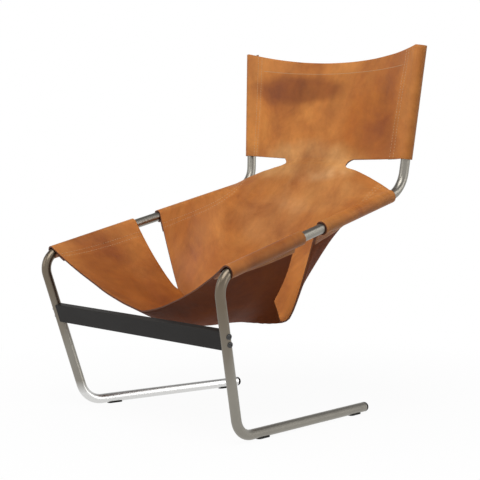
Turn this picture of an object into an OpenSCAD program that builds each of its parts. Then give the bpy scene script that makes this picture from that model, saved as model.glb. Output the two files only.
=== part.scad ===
// Cantilever lounge chair: one saddle-leather hide slung between two bent tubes.
// Millimetres. +Z is up, the sitter faces -Y, +X is the sitter's left.
// The origin is on the floor, under the middle of the chair.

/* [Tube frame] */
// Outside diameter of the bent tubes
tube_d = 25; // [22:0.5:30]
// Wall thickness of the tubes
tube_wall = 2; // [1.5:0.25:3]
// Distance between the two skids' centre lines at the front
stance_w = 612; // [540:2:680]
// Skid, from the front corner to its open rear end
skid_l = 493; // [430:1:560]
// Front leg, from the floor corner to the knee corner
leg_l = 409; // [380:1:450]
// Forward lean of the front legs, in degrees
leg_lean = 15.7; // [12:0.1:19]
// Seat rail, from the knee corner to the back corner
rail_l = 715; // [660:1:770]
// Climb of the seat rails towards the rear, in degrees
rail_rise = 14; // [11:0.5:17]
// Back upright, from the back corner to its top
upright_l = 375; // [330:1:430]
// Backward lean of the uprights, in degrees
upright_lean = 4.6; // [2:0.2:9]
// Outward lean of each side frame, in degrees
splay = 5.2; // [3:0.1:7]
// Turn of each side frame towards the middle at the rear, in degrees
toe_in = 6.5; // [4:0.1:8]
// Bend radius at the floor
foot_bend_r = 60; // [50:1:75]
// Bend radius at the knee
knee_bend_r = 50; // [42:1:60]
// Bend radius at the back
back_bend_r = 70; // [60:1:80]

/* [Front crossbar] */
// Height of the bar's section
bar_h = 48; // [38:1:50]
// Thickness of the bar's section
bar_t = 20; // [16:0.5:22]
// Wall thickness of the bar
bar_wall = 2; // [1.5:0.25:3]
// Radius of the bar's rounded edges
bar_edge_r = 3; // [2:0.5:4]
// Place of the bar up the leg, from the floor corner
bar_at = 252; // [225:1:270]
// Shown length of each saddle between the bar and the leg
saddle_neck = 7; // [5:0.5:12]
// Length of each saddle inside the bar
saddle_tail = 24; // [18:1:36]

/* [Crossbar screws] */
// Thread diameter
screw_d = 6; // [5:0.5:8]
// Distance between the two screws of one leg
screw_pitch = 20; // [18:0.5:22]
// Head diameter
screw_head_d = 11; // [10:0.5:13]
// Head height
screw_head_h = 3.2; // [2.5:0.1:4]
// Width of the socket across its corners
socket_d = 4.6; // [4:0.1:5.5]
// Diameter of the shaped washers
washer_d = 14; // [13:0.5:17]
// Thickness of the shaped washers at their middle
washer_t = 2; // [1.5:0.25:3]

/* [Plugs and glides] */
// Length of the rounded end of each skid cap
skid_cap_l = 11; // [5:0.5:12]
// Length of the plugs inside the tubes
plug_tail = 18; // [12:1:30]
// Thickness of the flat head of each upright plug
upright_plug_h = 3; // [2:0.5:5]
// Length of each glide
glide_l = 44; // [30:1:60]
// Width of each glide
glide_w = 16; // [12:0.5:18]
// Thickness of the glides under the tube
glide_t = 2; // [1.5:0.25:4]
// Diameter of the pin that holds a glide in the tube
glide_pin_d = 6; // [4:0.5:8]
// Place of the front glides, back from the front corner
glide_front_at = 88; // [82:1:120]
// Place of the rear glides, forward from the skid's end
glide_rear_in = 40; // [30:1:70]

/* [Leather] */
// Thickness of the hide
hide_t = 4; // [3:0.25:5]
// Clearance between the hide and the tubes
hide_gap = 0.9; // [0.8:0.1:1.5]
// Width of the double band that closes each sleeve
band_w = 24; // [18:1:32]
// Gap between the two layers of the band
band_gap = 0.5; // [0.4:0.1:1]
// Height of the hide above the tops of the uprights
crown = 6; // [4:0.5:10]
// Half width of the hide between the seat slits, as a share of the half span
slit_share = 0.58; // [0.54:0.01:0.66]
// Half width of the waist, as a share of the half span
waist_share = 0.4; // [0.32:0.01:0.46]

/* [Hidden] */

// Sides of round pieces
$fn = 64;
// Overrun of every cut past the face that it opens
cut = 1;
// Running clearance round plugs, pins and screws, on the radius
fit_gap = 0.1;
// Swelling of the tube where it is bent, on the radius
swell = 0.05;
steel = "#bdb8ad";
black = "#262526";
nylon = "#3a3938";
leather = "#b0703f";

// Side frame in its own plane: u runs back along the skid, w runs up
tube_r = tube_d / 2;
bore_d = tube_d - 2 * tube_wall;
knee = leg_l * [-sin(leg_lean), cos(leg_lean)];
back_corner = knee + rail_l * [cos(rail_rise), sin(rail_rise)];
top_end = back_corner + upright_l * [sin(upright_lean), cos(upright_lean)];
corners = [[skid_l, 0], [0, 0], knee, back_corner, top_end];
bend_rs = [0, foot_bend_r, knee_bend_r, back_bend_r, 0];

// Heading of the run that leaves corner i
function heading(i) = let(d = corners[i + 1] - corners[i]) atan2(d[1], d[0]);
// Turn at corner i, positive to the left
function turn(i) = let(a = heading(i) - heading(i - 1)) a > 180 ? a - 360 : a < -180 ? a + 360 : a;
// Length that the bend takes from each run at corner i
function trim(i) = bend_rs[i] == 0 ? 0 : bend_rs[i] * tan(abs(turn(i)) / 2);
function unit2(a) = [cos(a), sin(a)];

// Height of the skids' centre lines over the floor
lift = glide_t + tube_r;
// Foremost point of the knee bend, in the side frame's plane
knee_centre = knee + trim(2) * unit2(heading(2)) + knee_bend_r * unit2(heading(2) - 90);
knee_front = knee_centre[0] - knee_bend_r - tube_r;

// Place in the chair of the point (u, w) of the left side frame, before the chair is centred
function raw_point(uw) = [
    stance_w / 2 + uw[1] * sin(splay) * cos(toe_in) - uw[0] * sin(toe_in),
    uw[1] * sin(splay) * sin(toe_in) + uw[0] * cos(toe_in),
    lift + uw[1] * cos(splay)];

// Sling rows, front to back: place on the tube (0 to 1 on the rail, 1 to 2 on the upright),
// then the middle of the row as shares of the seat's depth and of the chair's height,
// then the share of the half row that lies flat, then the roundness of the rest,
// where a larger value hangs flatter
sling_row_shares = [
    [0.045, 0.082, 0.304, 0, 1.25],
    [0.2, 0.26, 0.258, 0, 1.8],
    [0.3, 0.371, 0.253, 0, 2.1],
    [0.415, 0.49, 0.254, 0.1, 2.1],
    [0.53, 0.526, 0.264, 0.66, 1.1],
    [0.575, 0.562, 0.281, 0.5, 1.4],
    [0.65, 0.627, 0.336, 0.15, 2.4],
    [0.73, 0.703, 0.414, 0, 2.6],
    [0.8, 0.771, 0.495, 0, 2.8],
    [0.87, 0.86, 0.581, 0, 2.6],
    [0.9, 0.905, 0.63, 0, 2.5],
    [0.93, 0.947, 0.678, 0, 2.4],
    [1.22, 0.967, 0.691, 0, 2],
    [1.35, 0.991, 0.749, 0, 2],
    [1.56, 1.03, 0.832, 0, 2],
    [1.78, 1.064, 0.907, 0, 2],
    [2, 1.094, 0.97, 0, 2]];
// Softness of the corner where the flat part of a row ends, as a share of the half span
crease = 0.05;
// Rows at which the hide's three panels end and start again
slit_row = 3;
slot_row = 11;
// Columns of one half row, from the middle to the tube, as shares of the half span;
// the two last columns before the tube follow the band and are set by its width
free_shares = [0, 0.2, waist_share, 0.5, slit_share, 0.72, 0.81];
slit_cols = 4;
slot_cols = 2;
wrap_steps = 6;
wrap_turn = 240;

seat_depth = raw_point(back_corner)[1] - raw_point(knee)[1];
chair_h = raw_point(top_end)[2];
last_row = len(sling_row_shares) - 1;
rear_y = raw_point(knee)[1] + sling_row_shares[last_row][1] * seat_depth + hide_t / 2;
front_y = raw_point([knee_front, knee_centre[1]])[1];
shift_y = -(front_y + rear_y) / 2;

function frame_point(uw) = raw_point(uw) + [0, shift_y, 0];
function unit(v) = v / norm(v);

// One straight run of the frame, from point p to point q of its plane
module run(p, q, d) {
    way = q - p;
    translate([0, p[0], p[1]])
        rotate([atan2(way[1], way[0]) - 90, 0, 0])
            cylinder(h = norm(way), d = d);
}

// The bend at corner i
module bend(i, d) {
    side = sign(turn(i));
    start = corners[i] - trim(i) * unit2(heading(i - 1));
    centre = start + bend_rs[i] * unit2(heading(i - 1) + side * 90);
    first = heading(i - 1) - side * 90;
    translate([0, centre[0], centre[1]])
        rotate([90, 0, 90])
            rotate([0, 0, side > 0 ? first : first + turn(i)])
                rotate_extrude(angle = abs(turn(i)))
                    translate([bend_rs[i], 0])
                        circle(d = d);
}

// The whole bent bar of diameter d, its open ends drawn out by past
module bent_bar(d, past) {
    for (i = [0 : 3])
        run(corners[i] + (i == 0 ? -past : trim(i) - cut) * unit2(heading(i)),
            corners[i + 1] + (i == 3 ? past : cut - trim(i + 1)) * unit2(heading(i)), d);
    for (i = [1 : 3])
        bend(i, d + 2 * swell);
}

// Moves a piece from the left side frame's plane to its place in the chair
module on_left_frame() {
    translate([stance_w / 2, shift_y, lift])
        rotate([0, 0, toe_in])
            rotate([0, splay, 0])
                children();
}

// Keeps a left piece on the left, or mirrors it to the right
module on_side(left) {
    mirror([left ? 0 : 1, 0, 0])
        children();
}

// Crossbar: its own frame has X along the bar and Z along the legs, seen from the side
bar_uw = bar_at * [-sin(leg_lean), cos(leg_lean)];
bar_centre = frame_point(bar_uw);
leg_way = unit(frame_point(knee) - frame_point([0, 0]));
bar_tilt = atan2(-leg_way[1], leg_way[2]);
leg_out = atan2(leg_way[0], norm([leg_way[1], leg_way[2]]));
// Half length of the bar itself, up to its saddles
bar_half = bar_centre[0] - tube_r - saddle_neck;
// Radius of the edges inside the bar
bore_edge_r = bar_edge_r / 3;
screw_r = screw_d / 2;
// The leg's centre line, in the bar's frame, at the height h over the bar's centre line
function leg_x(h) = bar_centre[0] + h * tan(leg_out);
// Outer face of a washer at that height
function washer_face(h) = leg_x(h) + tube_r / cos(leg_out) + washer_t;
screw_heights = [-screw_pitch / 2, screw_pitch / 2];

module in_bar_frame() {
    translate([0, bar_centre[1], bar_centre[2]])
        rotate([bar_tilt, 0, 0])
            children();
}

// Round bar along the leg, in the bar's frame, to seat other pieces on it
module leg_core(extra) {
    translate([bar_centre[0], 0, 0])
        rotate([0, leg_out, 0])
            cylinder(h = 2 * bar_h, d = tube_d + 2 * extra, center = true);
}

// Round bar along X from x0 to x1 at the height h
module along_x(x0, x1, h, d) {
    translate([x0, 0, h])
        rotate([0, 90, 0])
            cylinder(h = x1 - x0, d = d);
}

// Glides: built in a level frame that follows the skid
glide_rear_at = skid_l - glide_rear_in;
glide_pin_h = tube_wall + glide_pin_d;

module at_glide(place) {
    translate([stance_w / 2, shift_y, 0])
        rotate([0, 0, toe_in])
            translate([0, place, 0])
                children();
}

module glide_pin_hole(place) {
    at_glide(place)
        cylinder(h = lift, d = glide_pin_d + 2 * fit_gap);
}

module side_frame() {
    color(steel)
        difference() {
            on_left_frame()
                difference() {
                    bent_bar(tube_d, 0);
                    bent_bar(bore_d, cut);
                }
            in_bar_frame()
                for (h = screw_heights)
                    along_x(leg_x(h) - tube_d, leg_x(h) + tube_d, h, screw_d + 2 * fit_gap);
            glide_pin_hole(glide_front_at);
            glide_pin_hole(glide_rear_at);
        }
}

// Tail that fills the bore
module plug_tail_bar() {
    translate([0, 0, -plug_tail])
        cylinder(h = plug_tail, d = bore_d - 2 * fit_gap);
}

// Rounded cap in the open end of a skid
module skid_cap() {
    edge_r = skid_cap_l * 0.8;
    color(black)
        on_left_frame()
            translate([0, skid_l, 0])
                rotate([-90, 0, 0]) {
                    plug_tail_bar();
                    rotate_extrude()
                        intersection() {
                            square([tube_r, skid_cap_l]);
                            union() {
                                square([tube_r, skid_cap_l - edge_r]);
                                square([tube_r - edge_r, skid_cap_l]);
                                translate([tube_r - edge_r, skid_cap_l - edge_r])
                                    circle(r = edge_r);
                            }
                        }
                }
}

// Flat plug in the top of an upright, inside the leather
module upright_plug() {
    color(nylon)
        on_left_frame()
            translate([0, top_end[0], top_end[1]])
                rotate([-upright_lean, 0, 0]) {
                    plug_tail_bar();
                    cylinder(h = upright_plug_h, d = tube_d);
                }
}

// Bar along X from x0 to x1, thick by high, its edges rounded to r
module flat_bar(x0, x1, thick, high, r) {
    translate([x0, 0, 0])
        rotate([90, 0, 90])
            linear_extrude(height = x1 - x0) {
                square([thick, high - 2 * r], center = true);
                square([thick - 2 * r, high], center = true);
                for (x = [-1, 1])
                    for (y = [-1, 1])
                        translate([x * (thick / 2 - r), y * (high / 2 - r)])
                            circle(r = r);
            }
}

// Rectangular tube between the saddles
module front_crossbar() {
    bore_end = bar_half + cut;
    color(black)
        in_bar_frame()
            difference() {
                flat_bar(-bar_half, bar_half, bar_t, bar_h, bar_edge_r);
                flat_bar(-bore_end, bore_end, bar_t - 2 * bar_wall, bar_h - 2 * bar_wall, bore_edge_r);
            }
}

// End block: coped to the leg, with a tail that fills the bar
module crossbar_saddle() {
    tail_t = bar_t - 2 * (bar_wall + fit_gap);
    tail_h = bar_h - 2 * (bar_wall + fit_gap);
    color(black)
        in_bar_frame()
            difference() {
                union() {
                    flat_bar(bar_half, bar_half + saddle_neck + tube_r, bar_t, bar_h, bar_edge_r);
                    flat_bar(bar_half - saddle_tail, bar_half + cut, tail_t, tail_h, bore_edge_r);
                }
                leg_core(fit_gap);
                for (h = screw_heights)
                    along_x(bar_half - saddle_tail - cut, bar_centre[0], h, screw_d + 2 * fit_gap);
            }
}

// Button-head screw on the X axis, its head's flat face at x = 0 and its tip at x = -reach
module button_screw(reach) {
    dome_r = (screw_head_d * screw_head_d / 4 + screw_head_h * screw_head_h) / (2 * screw_head_h);
    rotate([0, 90, 0])
        difference() {
            union() {
                translate([0, 0, -reach])
                    cylinder(h = reach + screw_head_h / 2, d = screw_d);
                intersection() {
                    translate([0, 0, screw_head_h - dome_r])
                        sphere(r = dome_r);
                    cylinder(h = screw_head_h * 0.85, d = screw_head_d);
                }
            }
            translate([0, 0, screw_head_h / 3])
                cylinder(h = screw_head_h, d = socket_d, $fn = 6);
        }
}

// The two screws of one leg
module crossbar_screws() {
    color(black)
        in_bar_frame()
            for (h = screw_heights)
                translate([washer_face(h), 0, h])
                    button_screw(washer_face(h) - bar_half + saddle_tail - screw_r);
}

// The two shaped washers of one leg
module crossbar_washers() {
    color(black)
        in_bar_frame()
            difference() {
                for (h = screw_heights)
                    along_x(leg_x(h), washer_face(h), h, washer_d);
                leg_core(fit_gap);
                for (h = screw_heights)
                    along_x(bar_centre[0] - tube_d, bar_centre[0] + 2 * tube_d, h, screw_d + 2 * fit_gap);
            }
}

// Thin pad under the skid, hollowed to the tube, with a pin into it
module glide(place) {
    side_h = glide_t + tube_r / 3;
    color(nylon)
        at_glide(place) {
            difference() {
                union() {
                    translate([-glide_w / 2, -(glide_l - glide_w) / 2, 0])
                        cube([glide_w, glide_l - glide_w, side_h]);
                    for (y = [-1, 1])
                        translate([0, y * (glide_l - glide_w) / 2, 0])
                            cylinder(h = side_h, d = glide_w);
                }
                translate([0, 0, lift])
                    rotate([90, 0, 0])
                        cylinder(h = 2 * glide_l, r = tube_r + fit_gap, center = true);
            }
            cylinder(h = glide_t + glide_pin_h, d = glide_pin_d);
        }
}

// Leather hide. Every row of the sheet is a curve hung between the two tubes; it passes over
// each tube, turns round it and comes back under itself as the outer layer of a double band.
wrap_r = tube_r + hide_gap + hide_t / 2;
layer = hide_t + band_gap;
span_count = len(free_shares) + 2;
half_last = span_count + wrap_steps + 2;
row_len = 2 * half_last + 1;

function panel(i) = i <= slit_row ? 0 : i <= slot_row ? 1 : 2;
function in_panel(i, step) = i + step >= 0 && i + step <= last_row
    && panel(i + step) == panel(i) ? i + step : i;
// Corners of the run that carries a row
function run_start(i) = panel(i) < 2 ? knee : back_corner;
function run_end(i) = panel(i) < 2 ? back_corner : top_end + crown * unit2(heading(3));
function run_share(i) = sling_row_shares[i][0] - (panel(i) < 2 ? 0 : 1);
function tube_point(i) = frame_point(run_start(i) + run_share(i) * (run_end(i) - run_start(i)));
function tube_way(i) = unit(frame_point(run_end(i)) - frame_point(run_start(i)));
function row_middle(i) = [0,
    frame_point(knee)[1] + sling_row_shares[i][1] * seat_depth,
    sling_row_shares[i][2] * chair_h];
// Sag of row i, from the level of its two tubes to its middle
function row_sag(i) = row_middle(i) - [0, tube_point(i)[1], tube_point(i)[2]];
function flat_share(i) = sling_row_shares[i][3];
function roundness(i) = sling_row_shares[i][4];
// 0 over the flat part of row i and 1 at the tube, with a softly bent corner between them
function bent(i, s) = norm([s - flat_share(i), crease]) + s;
function rise(i, s) = (bent(i, s) - bent(i, 0)) / (bent(i, 1) - bent(i, 0));
function hung(i, s) = [s * tube_point(i)[0], tube_point(i)[1], tube_point(i)[2]]
    + row_sag(i) * (1 - pow(rise(i, s), roundness(i)));
// Share of the half span that lies at a distance from the tube
function share_at(i, reach) = 1 - reach
    / norm([tube_point(i)[0], roundness(i) / (1 - flat_share(i)) * norm(row_sag(i))]);
// Part of v that is square to the tube
function square_to(i, v) = unit(v - (v * tube_way(i)) * tube_way(i));
function own_leave(i) = square_to(i, hung(i, share_at(i, 2 * band_w)) - tube_point(i));
function sum(list, i = 0) = i == len(list) - 1 ? list[i] : list[i] + sum(list, i + 1);
panel_leave = [for (n = [0 : 2]) unit(sum([for (i = [0 : last_row]) if (panel(i) == n) own_leave(i)]))];
// Direction in which the sheet leaves the tube: stiff leather evens it out along the sleeve
function leave(i) = square_to(i, own_leave(i) + panel_leave[panel(i)]);
function lining(i) = cross(tube_way(i), leave(i));
// Shares of the columns of row i, from the middle to the tube
function column(i, c) = c < len(free_shares) ? free_shares[c]
    : share_at(i, c == len(free_shares) ? tube_d + band_w : tube_d);
function wrap_way(i, c) = let(a = wrap_turn * (c - span_count) / wrap_steps)
    cos(a) * lining(i) - sin(a) * leave(i);
function span_point(i, c) = hung(i, column(i, c)) + wrap_r * pow(column(i, c), 4) * lining(i);
// One half of the sheet, on the left, without its bands
half = [for (i = [0 : last_row]) [for (c = [0 : span_count + wrap_steps])
    c < span_count ? span_point(i, c) : tube_point(i) + wrap_r * wrap_way(i, c)]];
function half_normal(i, c) = c >= span_count ? wrap_way(i, c)
    : unit(cross((c == 0 ? [half[i][1][0], 0, 0] : half[i][c + 1] - half[i][c - 1]),
        half[in_panel(i, 1)][c] - half[in_panel(i, -1)][c]));
// Column of the sheet that a column of the band lies behind
function behind(c) = 2 * span_count + wrap_steps - c;
function mirror_x(p) = [-p[0], p[1], p[2]];
function half_point(i, c) = c <= span_count + wrap_steps ? half[i][c]
    : half[i][behind(c)] - layer * half_normal(i, behind(c));
function full_normal(i, c) = c <= span_count + wrap_steps ? half_normal(i, c)
    : -half_normal(i, behind(c));

// Point of the sheet's middle surface at row i and column j, and its outward normal
function sheet_point(i, j) = j >= half_last ? half_point(i, j - half_last)
    : mirror_x(half_point(i, half_last - j));
function sheet_normal(i, j) = j >= half_last ? full_normal(i, j - half_last)
    : mirror_x(full_normal(i, half_last - j));

module hide() {
    half_t = hide_t / 2;
    upper = [for (i = [0 : last_row]) for (j = [0 : row_len - 1])
        sheet_point(i, j) + half_t * sheet_normal(i, j)];
    lower = [for (i = [0 : last_row]) for (j = [0 : row_len - 1])
        sheet_point(i, j) - half_t * sheet_normal(i, j)];
    function from_middle(j) = max(abs(j - half_last), abs(j + 1 - half_last));
    function present(i, j) = i >= 0 && i < last_row && j >= 0 && j < row_len - 1
        && (i != slit_row || from_middle(j) <= slit_cols)
        && (i != slot_row || from_middle(j) <= slot_cols);
    function up(i, j) = i * row_len + j;
    function low(i, j) = len(upper) + up(i, j);
    // The two triangles of a quad, cut along the diagonal that follows the sheet's twist
    function quad(flip, a, b, c, d) = flip ? [[a, b, d], [b, c, d]] : [[a, b, c], [a, c, d]];
    function flip(i, j) = (j >= half_last) == (panel(i) == 1);
    faces = [for (i = [0 : last_row - 1]) for (j = [0 : row_len - 2]) if (present(i, j)) each concat(
        quad(flip(i, j), up(i, j), up(i + 1, j), up(i + 1, j + 1), up(i, j + 1)),
        quad(flip(i, j), low(i, j), low(i, j + 1), low(i + 1, j + 1), low(i + 1, j)),
        present(i - 1, j) ? [] : quad(false, up(i, j), up(i, j + 1), low(i, j + 1), low(i, j)),
        present(i + 1, j) ? []
            : quad(false, up(i + 1, j + 1), up(i + 1, j), low(i + 1, j), low(i + 1, j + 1)),
        present(i, j - 1) ? [] : quad(false, up(i + 1, j), up(i, j), low(i, j), low(i + 1, j)),
        present(i, j + 1) ? []
            : quad(false, up(i, j + 1), up(i + 1, j + 1), low(i + 1, j + 1), low(i, j + 1)))];
    color(leather)
        polyhedron(points = concat(upper, lower), faces = faces);
}

on_side(true) side_frame();  // side_frame_left
on_side(false) side_frame();  // side_frame_right
on_side(true) skid_cap();  // skid_cap_left
on_side(false) skid_cap();  // skid_cap_right
on_side(true) upright_plug();  // upright_plug_left
on_side(false) upright_plug();  // upright_plug_right
front_crossbar();
on_side(true) crossbar_saddle();  // crossbar_saddle_left
on_side(false) crossbar_saddle();  // crossbar_saddle_right
on_side(true) crossbar_screws();  // crossbar_screws_left
on_side(false) crossbar_screws();  // crossbar_screws_right
on_side(true) crossbar_washers();  // crossbar_washers_left
on_side(false) crossbar_washers();  // crossbar_washers_right
on_side(true) glide(glide_front_at);  // glide_front_left
on_side(false) glide(glide_front_at);  // glide_front_right
on_side(true) glide(glide_rear_at);  // glide_rear_left
on_side(false) glide(glide_rear_at);  // glide_rear_right
hide();
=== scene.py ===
"""A low cantilever lounge chair: one saddle-leather hide slung between two bent steel side frames.
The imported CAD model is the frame; the metal and plastic pieces keep their CAD shapes and the
leather is made here, over its plain CAD solid."""

from functools import lru_cache
from math import cos, hypot, pi, radians, sin

import bmesh
import bpy
from mathutils import Matrix, Vector, noise


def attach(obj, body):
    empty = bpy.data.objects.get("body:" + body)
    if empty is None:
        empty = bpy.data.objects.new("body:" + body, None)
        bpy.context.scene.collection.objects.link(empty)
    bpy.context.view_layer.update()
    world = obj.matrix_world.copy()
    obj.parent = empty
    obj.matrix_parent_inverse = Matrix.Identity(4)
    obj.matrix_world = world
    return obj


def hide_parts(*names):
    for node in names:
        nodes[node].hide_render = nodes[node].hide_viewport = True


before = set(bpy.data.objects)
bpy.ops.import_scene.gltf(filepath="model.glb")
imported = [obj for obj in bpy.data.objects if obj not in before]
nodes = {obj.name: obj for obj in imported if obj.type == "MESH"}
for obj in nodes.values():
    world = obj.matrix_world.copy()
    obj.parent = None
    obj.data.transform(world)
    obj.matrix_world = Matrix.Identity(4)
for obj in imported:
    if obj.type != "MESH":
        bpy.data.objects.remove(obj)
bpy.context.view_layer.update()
scene = bpy.context.scene
scene.view_settings.view_transform = "Standard"

# Camera
# A long lens in front of the chair and on the sitter's left, a little under the sitter's eye.
# Its place, turn and length lay the two side frames on those of the photograph.
camera = bpy.data.objects.new("camera", bpy.data.cameras.new("camera"))
camera.data.lens = 104.2
camera.location = (2.711, -2.4257, 0.736)
camera.rotation_euler = (radians(85.5), 0, radians(48.1))
scene.collection.objects.link(camera)
scene.camera = camera

# Studio
# A white sweep that keeps only a pale shadow, a large soft box overhead and a smaller one in
# front. The metal also mirrors a tall strip light. None of it belongs to the chair.


def paint(name):
    """A new material with its node tree cleared, and a node maker for it."""
    material = bpy.data.materials.new(name)
    material.use_nodes = True
    tree = material.node_tree
    tree.nodes.clear()
    return material, maker(tree)


def maker(tree):
    """A node maker for one tree. It links the sockets named in links, and sets the others."""
    def node(kind, links=None, **sockets):
        made = tree.nodes.new(kind)
        for key, value in sockets.items():
            socket = key.replace("_", " ")
            if socket in made.inputs:
                made.inputs[socket].default_value = value
            else:
                setattr(made, key, value)
        for socket, source in (links or {}).items():
            tree.links.new(source, made.inputs[socket])
        return made
    return node


def maths(node, operation, *values):
    """A Math node's result. Each value is a number, or the output of another node."""
    linked = {k: value for k, value in enumerate(values) if isinstance(value, bpy.types.NodeSocket)}
    made = node("ShaderNodeMath", linked, operation=operation)
    for k, value in enumerate(values):
        if k not in linked:
            made.inputs[k].default_value = value
    return made.outputs[0]


def ranged(node, value, low, high, to_low=0.0, to_high=1.0, **more):
    """A value that goes from to_low to to_high as its source goes from low to high, and stops."""
    made = node("ShaderNodeMapRange", {"Value": value}, From_Min=low, From_Max=high, To_Min=to_low,
                To_Max=to_high, **more)
    return made.outputs[0]


floor_material, node = paint("studio_floor")
place = node("ShaderNodeTexCoord")
away = node("ShaderNodeVectorMath", {0: place.outputs["Object"]}, operation="LENGTH")
shadow = ranged(node, away.outputs["Value"], 0.5, 1.3, 0.05, 0.0)
ray = node("ShaderNodeLightPath")
seen = maths(node, "MAXIMUM", ray.outputs["Is Camera Ray"], ray.outputs["Is Glossy Ray"])
grey = node("ShaderNodeBsdfDiffuse", Color=(0.42, 0.42, 0.42, 1))
pale = node("ShaderNodeBsdfDiffuse", Color=(0.85, 0.85, 0.85, 1))
white = node("ShaderNodeEmission", Strength=1.0)
shown = node("ShaderNodeMixShader", {0: shadow, 1: white.outputs[0], 2: pale.outputs[0]})
both = node("ShaderNodeMixShader", {0: seen, 1: grey.outputs[0], 2: shown.outputs[0]})
node("ShaderNodeOutputMaterial", {"Surface": both.outputs[0]})

# just under the glides, so that no two faces lie in one plane
floor_gap = 0.0006
floor_mesh = bpy.data.meshes.new("floor")
disc = bmesh.new()
bmesh.ops.create_circle(disc, cap_ends=True, segments=96, radius=9,
                        matrix=Matrix.Translation((0, 0, -floor_gap)))
disc.to_mesh(floor_mesh)
disc.free()
floor_mesh.materials.append(floor_material)
floor = bpy.data.objects.new("floor", floor_mesh)
scene.collection.objects.link(floor)

world = bpy.data.worlds.new("studio")
world.use_nodes = True
scene.world = world
world.node_tree.nodes.clear()
node = maker(world.node_tree)
ray = node("ShaderNodeLightPath")
seen = maths(node, "MAXIMUM", ray.outputs["Is Camera Ray"], ray.outputs["Is Glossy Ray"])
seen = maths(node, "MAXIMUM", seen, ray.outputs["Is Transmission Ray"])
# metal sees the white sweep low down and a dimmer ceiling over it
place = node("ShaderNodeTexCoord")
parts = node("ShaderNodeSeparateXYZ", {0: place.outputs["Generated"]})
ceiling = ranged(node, parts.outputs["Z"], 0.15, 0.75)
ceiling = maths(node, "MULTIPLY", ceiling, ray.outputs["Is Glossy Ray"])
sweep = ranged(node, ceiling, 0, 1, 1.0, 0.3)
# the strip light stands at the chair's left, where the right skid mirrors it
along = node("ShaderNodeVectorMath", {0: place.outputs["Generated"]}, operation="DOT_PRODUCT")
along.inputs[1].default_value = (0.113, 0.994, 0)
off_strip = maths(node, "ABSOLUTE", maths(node, "SUBTRACT", along.outputs["Value"], 0.58))
strip = ranged(node, off_strip, 0.06, 0.17, 3.0, 0.0)
strip = maths(node, "MULTIPLY", strip, ranged(node, parts.outputs["X"], 0.2, 0.5))
strip = maths(node, "MULTIPLY", strip, ray.outputs["Is Glossy Ray"])
dim = node("ShaderNodeBackground", Color=(1, 0.99, 0.975, 1), Strength=0.38)
white = node("ShaderNodeBackground", {"Strength": maths(node, "ADD", sweep, strip)}, Color=(1, 1, 1, 1))
both = node("ShaderNodeMixShader", {0: seen, 1: dim.outputs[0], 2: white.outputs[0]})
node("ShaderNodeOutputWorld", {"Surface": both.outputs[0]})


def soft_box(name, place, aim, size, watts):
    """A square lamp of some size at a place, turned towards its aim."""
    lamp = bpy.data.lights.new(name, "AREA")
    lamp.size = size
    lamp.energy = watts
    box = bpy.data.objects.new(name, lamp)
    box.location = place
    box.rotation_euler = (Vector(aim) - Vector(place)).to_track_quat("-Z", "Y").to_euler()
    scene.collection.objects.link(box)


soft_box("soft_box_above", (0.9, -1.2, 2.7), (0, 0, 0.4), 2.0, 52)
soft_box("soft_box_front", (-1.2, -2.8, 1.9), (0, 0, 0.5), 1.6, 16)

# Side frames
# Each side of the chair is one bent tube: skid, front leg, seat rail and back upright. Stock
# 25 mm steel tube, bent cold, then satin brushed along its length and left unplated.


def mixed(node, amount, first, second, how="MIX"):
    """A colour between two others. The first is a colour too, or the output of another node."""
    linked = {0: amount}
    if isinstance(first, bpy.types.NodeSocket):
        linked[6] = first
    made = node("ShaderNodeMix", linked, data_type="RGBA", blend_type=how)
    if 6 not in linked:
        made.inputs[6].default_value = (*first, 1)
    made.inputs[7].default_value = (*second, 1)
    return made.outputs[2]


steel, node = paint("satin_brushed_steel")
place = node("ShaderNodeTexCoord")
parts = node("ShaderNodeSeparateXYZ", {0: place.outputs["Object"]})
# 1 along the skids and the rails, and 0 on the upper legs, the knees and the uprights
behind_knee = ranged(node, parts.outputs["Y"], -0.335, -0.315)
before_back = ranged(node, parts.outputs["Y"], 0.315, 0.335, 1.0, 0.0)
lengthwise = maths(node, "MULTIPLY", behind_knee, before_back)
up_lines = node("ShaderNodeMapping", {"Vector": place.outputs["Object"]}, Scale=(1, 1, 0.03))
back_lines = node("ShaderNodeMapping", {"Vector": place.outputs["Object"]}, Scale=(1, 0.03, 1))
brushed = node("ShaderNodeMix", {0: lengthwise, 4: up_lines.outputs[0], 5: back_lines.outputs[0]},
               data_type="VECTOR")
lines = node("ShaderNodeTexNoise", {"Vector": brushed.outputs[1]}, Scale=1500, Detail=3, Roughness=0.6)
clouds = node("ShaderNodeTexNoise", {"Vector": place.outputs["Object"]}, Scale=14, Detail=4, Roughness=0.55)
dulled = ranged(node, clouds.outputs["Fac"], 0.3, 0.7, 0.24, 0.34)
rough = maths(node, "MULTIPLY_ADD", lines.outputs["Fac"], 0.1, dulled)
tone = mixed(node, clouds.outputs["Fac"], (0.222, 0.208, 0.181), (0.29, 0.273, 0.237))
# the right skid is painted much paler low down, a painted reflection of the white sweep
low = ranged(node, parts.outputs["Z"], 0.035, 0.07, 0.9, 0.0)
painted_reflection_right = ranged(node, parts.outputs["X"], -0.1, -0.16)
tone = mixed(node, maths(node, "MULTIPLY", low, painted_reflection_right), tone, (0.72, 0.72, 0.71))
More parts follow.
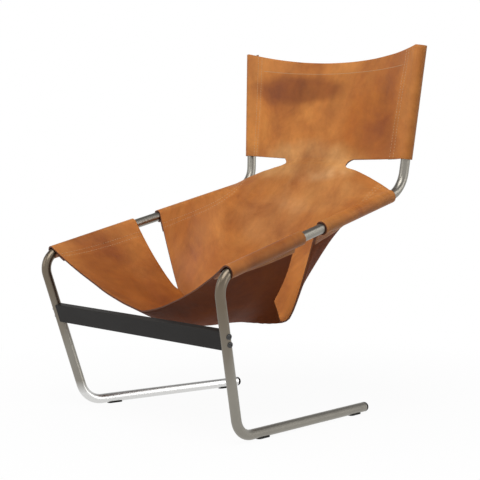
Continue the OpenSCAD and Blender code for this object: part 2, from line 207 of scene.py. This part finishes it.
# the upper legs and the knees are painted darker and browner, a painted reflection of the leather over them
high = ranged(node, parts.outputs["Z"], 0.08, 0.34)
off_rail = maths(node, "SUBTRACT", 1, lengthwise)
before_seat = ranged(node, parts.outputs["Y"], -0.1, 0.1, 1.0, 0.0)
painted_leather_reflection = maths(node, "MULTIPLY", maths(node, "MULTIPLY", high, off_rail), before_seat)
tone = mixed(node, painted_leather_reflection, tone, (0.165, 0.135, 0.10))
scratches = node("ShaderNodeBump", {"Height": lines.outputs["Fac"]}, Strength=0.12, Distance=0.0002)
shader = node("ShaderNodeBsdfPrincipled",
              {"Base Color": tone, "Roughness": rough, "Normal": scratches.outputs[0]}, Metallic=1.0)
node("ShaderNodeOutputMaterial", {"Surface": shader.outputs[0]})


def finish_node(name, material):
    """Gives a CAD node its finish."""
    for slot in nodes[name].material_slots:
        slot.material = material
    if not nodes[name].material_slots:
        nodes[name].data.materials.append(material)


for side in ("left", "right"):
    finish_node("side_frame_" + side, steel)

# Front crossbar and its saddles
# A flat rectangular tube ties the two front legs. At each end a solid block fills the bar and
# is coped to the round leg. All three are powder coated black, with the coat's fine skin.
powder, node = paint("black_powder_coat")
place = node("ShaderNodeTexCoord")
peel = node("ShaderNodeTexNoise", {"Vector": place.outputs["Object"]}, Scale=650, Detail=2, Roughness=0.5)
haze = node("ShaderNodeTexNoise", {"Vector": place.outputs["Object"]}, Scale=9, Detail=5, Roughness=0.6)
tone = mixed(node, haze.outputs["Fac"], (0.019, 0.0175, 0.0165), (0.031, 0.029, 0.0275))
rough = ranged(node, haze.outputs["Fac"], 0.3, 0.7, 0.42, 0.56)
skin_bump = node("ShaderNodeBump", {"Height": peel.outputs["Fac"]}, Strength=0.25, Distance=0.0003)
shader = node("ShaderNodeBsdfPrincipled",
              {"Base Color": tone, "Roughness": rough, "Normal": skin_bump.outputs[0]},
              Specular_IOR_Level=0.12)
node("ShaderNodeOutputMaterial", {"Surface": shader.outputs[0]})
for name in ("front_crossbar", "crossbar_saddle_left", "crossbar_saddle_right"):
    finish_node(name, powder)

# Crossbar screws and washers
# Two M6 button-head screws a leg, driven from outside through washers shaped to the tube.
# Black oxide on steel, a little rubbed on the crowns of the heads.
oxide, node = paint("black_oxide")
place = node("ShaderNodeTexCoord")
rub = node("ShaderNodeTexNoise", {"Vector": place.outputs["Object"]}, Scale=260, Detail=4, Roughness=0.6)
tone = mixed(node, rub.outputs["Fac"], (0.03, 0.03, 0.032), (0.10, 0.098, 0.095))
rough = ranged(node, rub.outputs["Fac"], 0.3, 0.7, 0.3, 0.48)
shader = node("ShaderNodeBsdfPrincipled", {"Base Color": tone, "Roughness": rough}, Metallic=0.85)
node("ShaderNodeOutputMaterial", {"Surface": shader.outputs[0]})
for side in ("left", "right"):
    finish_node("crossbar_screws_" + side, oxide)
    finish_node("crossbar_washers_" + side, oxide)

# Skid caps, upright plugs and glides
# Moulded pieces pressed into the tubes: rounded black caps close the skids, flat plugs close
# the uprights inside the leather, and thin nylon pads keep the skids off the floor.


def moulded(name, dark, light, grain):
    """A moulded plastic: fine spark-eroded grain and a slightly uneven gloss."""
    material, node = paint(name)
    place = node("ShaderNodeTexCoord")
    spark = node("ShaderNodeTexNoise", {"Vector": place.outputs["Object"]}, Scale=grain, Detail=2)
    wear = node("ShaderNodeTexNoise", {"Vector": place.outputs["Object"]}, Scale=60, Detail=4)
    tone = mixed(node, wear.outputs["Fac"], dark, light)
    rough = ranged(node, wear.outputs["Fac"], 0.3, 0.7, 0.5, 0.65)
    bump = node("ShaderNodeBump", {"Height": spark.outputs["Fac"]}, Strength=0.2, Distance=0.0002)
    shader = node("ShaderNodeBsdfPrincipled",
                  {"Base Color": tone, "Roughness": rough, "Normal": bump.outputs[0]},
                  Specular_IOR_Level=0.06)
    node("ShaderNodeOutputMaterial", {"Surface": shader.outputs[0]})
    return material


cap_plastic = moulded("black_cap_plastic", (0.013, 0.012, 0.011), (0.03, 0.027, 0.024), 900)
nylon = moulded("dark_nylon", (0.045, 0.044, 0.042), (0.075, 0.072, 0.068), 1200)
for side in ("left", "right"):
    finish_node("skid_cap_" + side, cap_plastic)
    finish_node("upright_plug_" + side, nylon)
    finish_node("glide_front_" + side, nylon)
    finish_node("glide_rear_" + side, nylon)

# Hide
# One cut of 4 mm saddle leather, parted by slits and slots into the front of the seat, the
# seat, a waist and the back. Each panel's ends turn round the tubes and are stitched back
# under as doubled bands, so the hide hangs between the frames as a sling.
knee = Vector((0.3540, -0.3786, 0.4066))
back_corner = Vector((0.2910, 0.3125, 0.5789))
top_end = Vector((0.3218, 0.3467, 0.9571))
# Each row's spot on the tube (0 to 1 on the rail, 1 to 2 on the upright), its middle (y, z),
# the share of the half row that lies flat, and the roundness of the rest
hung_rows = [
    (0.045, -0.322, 0.289, 0, 1.25), (0.2, -0.199, 0.245, 0, 1.8), (0.3, -0.122, 0.241, 0, 2.1),
    (0.415, -0.040, 0.242, 0.1, 2.1), (0.53, -0.015, 0.251, 0.66, 1.1), (0.575, 0.010, 0.267, 0.5, 1.4),
    (0.65, 0.055, 0.320, 0.15, 2.4), (0.73, 0.107, 0.394, 0, 2.6), (0.8, 0.154, 0.471, 0, 2.8),
    (0.87, 0.216, 0.553, 0, 2.6), (0.9, 0.247, 0.599, 0, 2.5), (0.93, 0.276, 0.645, 0, 2.4),
    (1.22, 0.290, 0.657, 0, 2), (1.35, 0.306, 0.712, 0, 2), (1.56, 0.333, 0.791, 0, 2),
    (1.78, 0.357, 0.863, 0, 2), (2, 0.377, 0.923, 0, 2)]
middle_y, middle_z, flat_share, roundness = 1, 2, 3, 4
# How soft the corner is between a row's flat middle and its rise
crease = 0.05
# The slit and the slot are open between two spots. Leather is left in the middle, out to the
# edge where they are widest, a share of the half row, and a second share more at their ends
slit = (0.415, 0.53)
slot = (0.93, 1.22)
slit_edge, slit_round = 0.57, 0.05
waist_edge, waist_round = 0.4, 0.053
hide_t = 0.004
tube_r, slack = 0.0125, 0.0009
wrap_r = tube_r + slack + hide_t / 2
wrap_turn = radians(240)
# Distances from the tube's centre line: the doubled band's two edges, and the point of a row
# that gives its direction away from the tube
band_near, band_far, leave_at = 0.024, 0.052, 0.048
# From the middle of one layer of a band to the middle of the other, and the hem's lower edge
layer = hide_t + 0.0005
hem_from = 1.875


def slopes(column):
    """End-to-end slopes of one column of the rows, eased so that the curve never overshoots."""
    at = [row[0] for row in hung_rows]
    steps = [(hung_rows[i + 1][column] - hung_rows[i][column]) / (at[i + 1] - at[i])
             for i in range(len(at) - 1)]
    eased = [steps[0]]
    for before, after in zip(steps, steps[1:]):
        eased.append(0.0 if before * after <= 0 else 2 * before * after / (before + after))
    return eased + [steps[-1]]


row_slopes = {column: slopes(column) for column in (middle_y, middle_z, flat_share, roundness)}


def bend(part, start, start_way, end, end_way):
    """Where a smooth curve is, part of the way from start to end. It sets off and arrives by the
    two ways, whose lengths say how fast."""
    return ((2 * part**3 - 3 * part**2 + 1) * start + (part**3 - 2 * part**2 + part) * start_way
            + (3 * part**2 - 2 * part**3) * end + (part**3 - part**2) * end_way)


@lru_cache(None)
def between(spot, column):
    """One column's value at any spot between the rows."""
    i = max(k for k in range(len(hung_rows) - 1) if k == 0 or hung_rows[k][0] <= spot)
    before, after = hung_rows[i], hung_rows[i + 1]
    run = after[0] - before[0]
    start_way, end_way = row_slopes[column][i] * run, row_slopes[column][i + 1] * run
    return bend((spot - before[0]) / run, before[column], start_way, after[column], end_way)


@lru_cache(None)
def tube_point(spot):
    """The left tube's centre line. Past the seat's sleeve it rounds the corner to the back's."""
    if spot <= slot[0]:
        return knee.lerp(back_corner, spot)
    if spot >= slot[1]:
        return back_corner.lerp(top_end, spot - 1)
    start, end = knee.lerp(back_corner, slot[0]), back_corner.lerp(top_end, slot[1] - 1)
    reach = (end - start).length
    return bend((spot - slot[0]) / (slot[1] - slot[0]), start, (back_corner - knee).normalized() * reach,
                end, (top_end - back_corner).normalized() * reach)


@lru_cache(None)
def tube_way(spot):
    """Direction of the tube, towards the top of the upright."""
    step = 0.002
    ahead, astern = min(spot + step, 2.0), max(spot - step, 0.0)
    return (tube_point(ahead) - tube_point(astern)).normalized()


@lru_cache(None)
def rise(spot, share):
    """0 over the flat middle of a row and 1 at the tube, with a softly bent corner."""
    low, here, high = (hypot(x - between(spot, flat_share), crease) + x for x in (0, share, 1))
    return max((here - low) / (high - low), 0.0)


def hung(spot, share):
    """The row's own curve, from its middle (share 0) to the tube's centre line (share 1)."""
    tube = tube_point(spot)
    drop = 1 - rise(spot, share) ** between(spot, roundness)
    return Vector((share * tube.x, tube.y + (between(spot, middle_y) - tube.y) * drop,
                   tube.z + (between(spot, middle_z) - tube.z) * drop))


@lru_cache(None)
def share_at(spot, reach):
    """Share of the half row at a distance from the tube."""
    tube = tube_point(spot)
    sag = Vector((0, between(spot, middle_y) - tube.y, between(spot, middle_z) - tube.z)).length
    steep = between(spot, roundness) / (1 - between(spot, flat_share))
    return 1 - reach / hypot(tube.x, steep * sag)


def square_to(spot, v):
    """The part of a direction that is square to the tube."""
    way = tube_way(spot)
    return (v - v.dot(way) * way).normalized()


@lru_cache(None)
def own_leave(spot):
    """Direction in which one row by itself would leave the tube."""
    return square_to(spot, hung(spot, share_at(spot, leave_at)) - tube_point(spot))


def panel_mean(first, last):
    """Mean direction in which the rows of one panel leave the tube."""
    inside = [row[0] for row in hung_rows if first <= row[0] <= last]
    return sum((own_leave(spot) for spot in inside), Vector()).normalized()


leave_means = [panel_mean(0.0, slit[0]), panel_mean(slit[1], slot[0]), panel_mean(slot[1], 2.0)]


@lru_cache(None)
def leave(spot):
    """Direction in which the hide leaves the tube: stiff leather evens it out along a sleeve."""
    marks = [(slit[0], 0), (slit[1], 1), (slot[0], 1), (slot[1], 2)]
    mean = leave_means[0] if spot <= slit[0] else leave_means[2]
    for (spot0, panel0), (spot1, panel1) in zip(marks, marks[1:]):
        if spot0 < spot <= spot1:
            mean = leave_means[panel0].lerp(leave_means[panel1], (spot - spot0) / (spot1 - spot0))
    return square_to(spot, own_leave(spot) + mean)


@lru_cache(None)
def over(spot):
    """Direction from the tube's centre line to the leather that lies over it."""
    return tube_way(spot).cross(leave(spot))


def ripple(spot, share, side):
    """Soft unevenness of a used hide, none at the tubes."""
    calm = 1 - share**3
    where = Vector((side * share * 2.1, spot * 3.1, 0.7))
    waves = 0.0035 * noise.noise(where * 1.3)
    dents = 0.0018 * noise.noise(where * 3.7 + Vector((5, 1, 2)))
    return calm * (waves + dents)


def skin(spot, share, side):
    """Middle of the leather on the left half; side only picks its unevenness."""
    return hung(spot, share) + (wrap_r * share**4 + ripple(spot, share, side)) * over(spot)


def skin_normal(spot, share, side):
    """Direction out of the leather's upper face, taken without crossing a slit or a slot."""
    step = 0.004
    first, last = max(spot - step, 0.0), min(spot + step, 2.0)
    for gap in (slit, slot):
        if spot >= gap[1]:
            first = max(first, gap[1])
        elif spot <= gap[0]:
            last = min(last, gap[0])
    along = skin(last, share, side) - skin(first, share, side)
    across = skin(spot, min(share + step, 1), side) - skin(spot, max(share - step, 0), side)
    if share == 0:
        across = Vector((1, 0, 0))
    return across.cross(along).normalized()


# Rows of the sheet: (spot, how far the slit's round end is open, the same for the slot)
sheet_rows = []
for first, last, count in ((0.045, slit[0], 28), (*slit, 12), (slit[1], slot[0], 38), (*slot, 14),
                           (slot[1], 2.0, 34)):
    for k in range(count + (last == 2.0)):
        if (first, last) in (slit, slot):
            spot = first + (last - first) * (1 - cos(pi * k / count)) / 2
            opened = sin(pi * k / count)
            sheet_rows.append((spot, opened if first == slit[0] else 0.0,
                               opened if first == slot[0] else 0.0))
        else:
            sheet_rows.append((first + (last - first) * k / count, 0.0, 0.0))

# Columns of one half: free leather to the waist's edge, to the slit's edge, to the band, the
# band, the last free stretch, the turn round the tube, and back under to the band again
waist_cols, slit_cols, free_cols, band_cols, last_cols, turn_cols, under_cols = 14, 26, 35, 41, 46, 70, 75
half_cols = 81


def shares(spot, slit_open, slot_open):
    """Where the columns of the half row lie, from its middle out to the tube."""
    marks = [(0, 0.0), (waist_cols, waist_edge + waist_round * (1 - slot_open)),
             (slit_cols, slit_edge + slit_round * (1 - slit_open)), (free_cols, share_at(spot, band_far)),
             (band_cols, share_at(spot, band_near)), (last_cols, 1.0)]
    row = []
    for (column, share), (next_column, next_share) in zip(marks, marks[1:]):
        count = next_column - column
        row += [share + (next_share - share) * k / count for k in range(count)]
    return row + [1.0]


def half_row(spot, slit_open, slot_open, side):
    """Points of one half row, out to the end that is stitched back under."""
    row = [skin(spot, share, side) for share in shares(spot, slit_open, slot_open)]
    if slit_open or slot_open:
        return row[:(slit_cols if slit_open else waist_cols) + 1]
    tube, out, up = tube_point(spot), leave(spot), over(spot)
    for k in range(1, turn_cols - last_cols + 1):
        angle = wrap_turn * k / (turn_cols - last_cols)
        row.append(tube + wrap_r * (cos(angle) * up - sin(angle) * out))
    # under the sheet again, bent smoothly into the band
    span = shares(spot, 0, 0)
    band = [skin(spot, span[c], side) - layer * skin_normal(spot, span[c], side)
            for c in range(band_cols, free_cols - 1, -1)]
    start, start_way = row[-1], -sin(wrap_turn) * up - cos(wrap_turn) * out
    end, end_way = band[0], (band[1] - band[0]).normalized()
    reach = (end - start).length
    for k in range(1, under_cols - turn_cols):
        row.append(bend(k / (under_cols - turn_cols), start, reach * start_way, end, reach * end_way))
    return row + band


hide_bm = bmesh.new()
flat = hide_bm.loops.layers.uv.new("flat")
doubled = hide_bm.verts.layers.float.new("doubled")
rows, row_across = [], []
for spot, slit_open, slot_open in sheet_rows:
    right = half_row(spot, slit_open, slot_open, -1)
    left = half_row(spot, slit_open, slot_open, 1)
    line = [Vector((-p.x, p.y, p.z)) for p in reversed(right[1:])] + left
    rows.append([hide_bm.verts.new(p) for p in line])
    middle = len(right) - 1
    # 1 where the leather lies double along its sleeves, and along the hem of the back
    for k, vert in enumerate(rows[-1]):
        vert[doubled] = max(float(abs(k - middle) > free_cols), float(spot > hem_from))
    reach = [0.0] * len(line)
    for k in range(middle + 1, len(line)):
        reach[k] = reach[k - 1] + (line[k] - line[k - 1]).length
        reach[2 * middle - k] = -reach[k]
    row_across.append(reach)
row_down = [0.0]
for before, after in zip(rows, rows[1:]):
    row_down.append(row_down[-1] + (after[len(after) // 2].co - before[len(before) // 2].co).length)
for i in range(len(rows) - 1):
    keep = half_cols
    if sheet_rows[i][1] or sheet_rows[i + 1][1]:
        keep = slit_cols
    if sheet_rows[i][2] or sheet_rows[i + 1][2]:
        keep = waist_cols
    mid, next_mid = len(rows[i]) // 2, len(rows[i + 1]) // 2
    for c in range(-keep, keep):
        corners = [(i, mid + c), (i, mid + c + 1), (i + 1, next_mid + c + 1), (i + 1, next_mid + c)]
        face = hide_bm.faces.new([rows[r][k] for r, k in corners])
        face.smooth = True
        for loop, (r, k) in zip(face.loops, corners):
            loop[flat].uv = (row_across[r][k], row_down[r])
hide_bm.normal_update()
hide_mesh = bpy.data.meshes.new("leather_hide")
hide_bm.to_mesh(hide_mesh)
hide_bm.free()
hide = bpy.data.objects.new("leather_hide", hide_mesh)
scene.collection.objects.link(hide)

# Patches on the hide laid flat: place (across, down from the front edge), half size, and the tint that the
# colour is multiplied by. Each is described above its line: a stain, painted light, painted shade and a
# darker front of the seat
patches_and_painted_light = [
    # a dark stain high on the back
    (-0.12, 1.03, 0.16, 0.042, (0.60, 0.50, 0.44)),
    # painted shade on the left of the back, darker and more orange
    (0.17, 0.93, 0.10, 0.11, (0.85, 0.74, 0.50)),
    # painted light on the right of the back's middle, a little paler
    (-0.10, 0.90, 0.20, 0.07, (1.1, 1.12, 1.12)),
    # painted light along the back's right sleeve, paler
    (-0.27, 0.97, 0.06, 0.15, (1.14, 1.16, 1.12)),
    # painted light at the waist, paler and bluer, over the real shade under the back
    (-0.03, 0.82, 0.20, 0.06, (1.18, 1.56, 2.6)),
    # painted light on the seat's rear wall, paler
    (0.08, 0.72, 0.16, 0.07, (1.14, 1.34, 1.85)),
    # painted light lower on the seat's rear wall, paler
    (-0.06, 0.62, 0.14, 0.08, (0.97, 1.05, 1.4)),
    # painted shade on the left sleeve at the front, darker
    (0.46, 0.2, 0.09, 0.14, (0.78, 0.74, 0.68)),
    # darker all over the front of the seat
    (0.0, 0.13, 0.5, 0.18, (0.69, 0.575, 0.43)),
    # a warmer, slightly darker patch on the right of the seat
    (-0.20, 0.40, 0.10, 0.10, (0.92, 0.86, 0.8))]


def leather(name, deep, mid, pale, is_flesh=False):
    """Leather in three tones. The flesh side is duller and takes none of the patches: no stains, no painted
    light and no painted shade.
    """
    material, node = paint(name)
    uv = node("ShaderNodeUVMap", uv_map="flat")
    cloud = node("ShaderNodeTexNoise", {"Vector": uv.outputs["UV"]}, Scale=7, Detail=6, Roughness=0.6,
                 Distortion=0.4)
    fine = node("ShaderNodeTexNoise", {"Vector": uv.outputs["UV"]}, Scale=55, Detail=6, Roughness=0.65)
    tone = node("ShaderNodeValToRGB", {"Fac": cloud.outputs["Fac"]})
    ramp = tone.color_ramp
    ramp.elements[0].position, ramp.elements[0].color = 0.3, (*deep, 1)
    ramp.elements[1].position, ramp.elements[1].color = 0.72, (*pale, 1)
    ramp.elements.new(0.5).color = (*mid, 1)
    # rubbed and soaked patches, drawn out a little along the hide
    stretched = node("ShaderNodeMapping", {"Vector": uv.outputs["UV"]}, Scale=(15, 8, 1))
    streak = node("ShaderNodeTexNoise", {"Vector": stretched.outputs[0]}, Scale=1, Detail=4, Roughness=0.55,
                  Distortion=0.6)
    streaked = ranged(node, streak.outputs["Fac"], 0.35, 0.7, 1.05, 0.85)
    speck = ranged(node, fine.outputs["Fac"], 0.3, 0.7, 0.92, 1.06)
    worn = maths(node, "MULTIPLY", streaked, speck)
    colour = node("ShaderNodeVectorMath", {0: tone.outputs["Color"], "Scale": worn},
                  operation="SCALE").outputs[0]
    if not is_flesh:
        wander = node("ShaderNodeTexNoise", {"Vector": uv.outputs["UV"]}, Scale=16, Detail=4)
        # each patch tints the colour softly: the stain, the painted light and the painted shade listed
        # above
        for across, down, half_w, half_l, tint in patches_and_painted_light:
            there = node("ShaderNodeMapping", {"Vector": uv.outputs["UV"]}, vector_type="TEXTURE",
                         Location=(across, down, 0), Scale=(half_w, half_l, 1))
            far = node("ShaderNodeVectorMath", {0: there.outputs[0]}, operation="LENGTH")
            edge = maths(node, "MULTIPLY_ADD", wander.outputs["Fac"], 0.7, far.outputs["Value"])
            amount = ranged(node, edge, 0.95, 1.65, 1.0, 0.0, interpolation_type="SMOOTHSTEP")
            colour = mixed(node, amount, colour, tint, "MULTIPLY")
        # the doubled bands take less dirt and wear paler
        band = node("ShaderNodeAttribute", attribute_name="doubled")
        colour = mixed(node, band.outputs["Fac"], colour, (1.08, 1.14, 1.3), "MULTIPLY")
    # pebbled grain over the pores
    cells = node("ShaderNodeTexVoronoi", {"Vector": uv.outputs["UV"]}, Scale=520, Randomness=1.0)
    pores = node("ShaderNodeTexNoise", {"Vector": uv.outputs["UV"]}, Scale=1400, Detail=3)
    grain = maths(node, "MULTIPLY_ADD", pores.outputs["Fac"], 0.5, cells.outputs["Distance"])
    bump = node("ShaderNodeBump", {"Height": grain}, Strength=0.35, Distance=0.0006)
    dents = node("ShaderNodeBump", {"Height": cloud.outputs["Fac"], "Normal": bump.outputs[0]},
                 Strength=0.35, Distance=0.006)
    smooth, dull, shine = (0.7, 0.8, 0.15) if is_flesh else (0.42, 0.58, 0.3)
    rough = ranged(node, cloud.outputs["Fac"], 0.3, 0.7, smooth, dull)
    shader = node("ShaderNodeBsdfPrincipled",
                  {"Base Color": colour, "Roughness": rough, "Normal": dents.outputs[0]},
                  Specular_IOR_Level=shine)
    node("ShaderNodeOutputMaterial", {"Surface": shader.outputs[0]})
    return material


grain_side = leather("saddle_leather", (0.34, 0.095, 0.014), (0.47, 0.158, 0.028), (0.57, 0.218, 0.046))
# the outside is far darker than the grain side: partly the flesh side's own darker colour, partly painted
# shade of the sling's underside
flesh_side_and_shade = leather("saddle_leather_outside_and_shade", (0.12, 0.027, 0.0045), (0.17, 0.038, 0.007),
                     (0.215, 0.055, 0.011), is_flesh=True)
burnished = leather("burnished_edge", (0.10, 0.034, 0.014), (0.15, 0.05, 0.02), (0.2, 0.07, 0.03))
for material in (grain_side, flesh_side_and_shade, burnished):
    hide_mesh.materials.append(material)
thick = hide.modifiers.new("thickness", "SOLIDIFY")
thick.thickness = hide_t
thick.offset = 0
thick.material_offset = 1
thick.material_offset_rim = 2
thick.use_even_offset = False
rounded = hide.modifiers.new("edges", "BEVEL")
rounded.width = 0.0009
rounded.segments = 2
rounded.limit_method = "ANGLE"
rounded.angle_limit = radians(50)
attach(hide, "root")
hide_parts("hide")

# Stitching
# Two rows of thick waxed thread close each sleeve through both layers of its band, and one
# row follows the top edge of the back. Every stitch lies half sunk in the leather.
thread, node = paint("waxed_thread")
place = node("ShaderNodeTexCoord")
ply = node("ShaderNodeTexNoise", {"Vector": place.outputs["Object"]}, Scale=1600, Detail=2)
tone = mixed(node, ply.outputs["Fac"], (0.42, 0.27, 0.14), (0.66, 0.46, 0.27))
bump = node("ShaderNodeBump", {"Height": ply.outputs["Fac"]}, Strength=0.4, Distance=0.0003)
shader = node("ShaderNodeBsdfPrincipled", {"Base Color": tone, "Normal": bump.outputs[0]}, Roughness=0.6)
node("ShaderNodeOutputMaterial", {"Surface": shader.outputs[0]})

stitch_l, thread_d, stitch_pitch = 0.0056, 0.0013, 0.0076
# How far the two rows on each sleeve lie from the tube's centre line
stitch_rows = (0.031, 0.043)
bead = bmesh.new()
bmesh.ops.create_uvsphere(bead, u_segments=6, v_segments=4, radius=0.5)
bmesh.ops.scale(bead, vec=(stitch_l, thread_d, thread_d), verts=bead.verts)
one_stitch = bpy.data.meshes.new("one_stitch")
bead.to_mesh(one_stitch)
bead.free()
stitch_bm = bmesh.new()


def sew(start, end, up):
    """One stitch from start to end, flat on the face whose normal is up."""
    way = (end - start).normalized()
    cross_way = up.cross(way).normalized()
    turned = Matrix((way, cross_way, way.cross(cross_way))).transposed().to_4x4()
    laid = Matrix.Translation((start + end) / 2) @ turned
    one_stitch.transform(laid)
    stitch_bm.from_mesh(one_stitch)
    one_stitch.transform(laid.inverted())


def mirrored(v, side):
    """A point or a direction of the left half, on the half that side says."""
    return Vector((side * v.x, v.y, v.z))


def sew_both_faces(start, end, up, side, lifts):
    """The same stitch at each height off the middle of the upper layer."""
    for lift in lifts:
        sew(mirrored(start + lift * up, side), mirrored(end + lift * up, side), mirrored(up, side))


# The length of tube, or of the half row at the hem, for one unit of spot or share
rail_run, upright_run, hem_run = 0.7148, 0.3812, 0.34
for first, last, run in ((0.045, slit[0], rail_run), (slit[1], slot[0], rail_run),
                         (slot[1], 2.0, upright_run)):
    count = int((last - first) * run / stitch_pitch)
    half = stitch_l / 2 / run
    for k in range(1, count):
        spot = first + (last - first) * k / count
        for reach in stitch_rows:
            for side in (1, -1):
                start, end = (skin(at, share_at(at, reach), side) for at in (spot - half, spot + half))
                up = skin_normal(spot, share_at(spot, reach), side)
                sew_both_faces(start, end, up, side, (hide_t / 2, -layer - hide_t / 2))
hem, hem_stitches = 1.885, 80
half = stitch_l / 2 / hem_run
for k in range(1, hem_stitches):
    for side in (1, -1):
        share = k / hem_stitches * share_at(hem, 0.05)
        start, end = (skin(hem, at, side) for at in (share - half, share + half))
        up = skin_normal(hem, share, side)
        sew_both_faces(start, end, up, side, (hide_t / 2, -hide_t / 2))
for face in stitch_bm.faces:
    face.smooth = True
bmesh.ops.recalc_face_normals(stitch_bm, faces=stitch_bm.faces)
stitch_mesh = bpy.data.meshes.new("sleeve_stitching")
stitch_bm.to_mesh(stitch_mesh)
stitch_bm.free()
stitch_mesh.materials.append(thread)
stitching = bpy.data.objects.new("sleeve_stitching", stitch_mesh)
scene.collection.objects.link(stitching)
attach(stitching, "root")
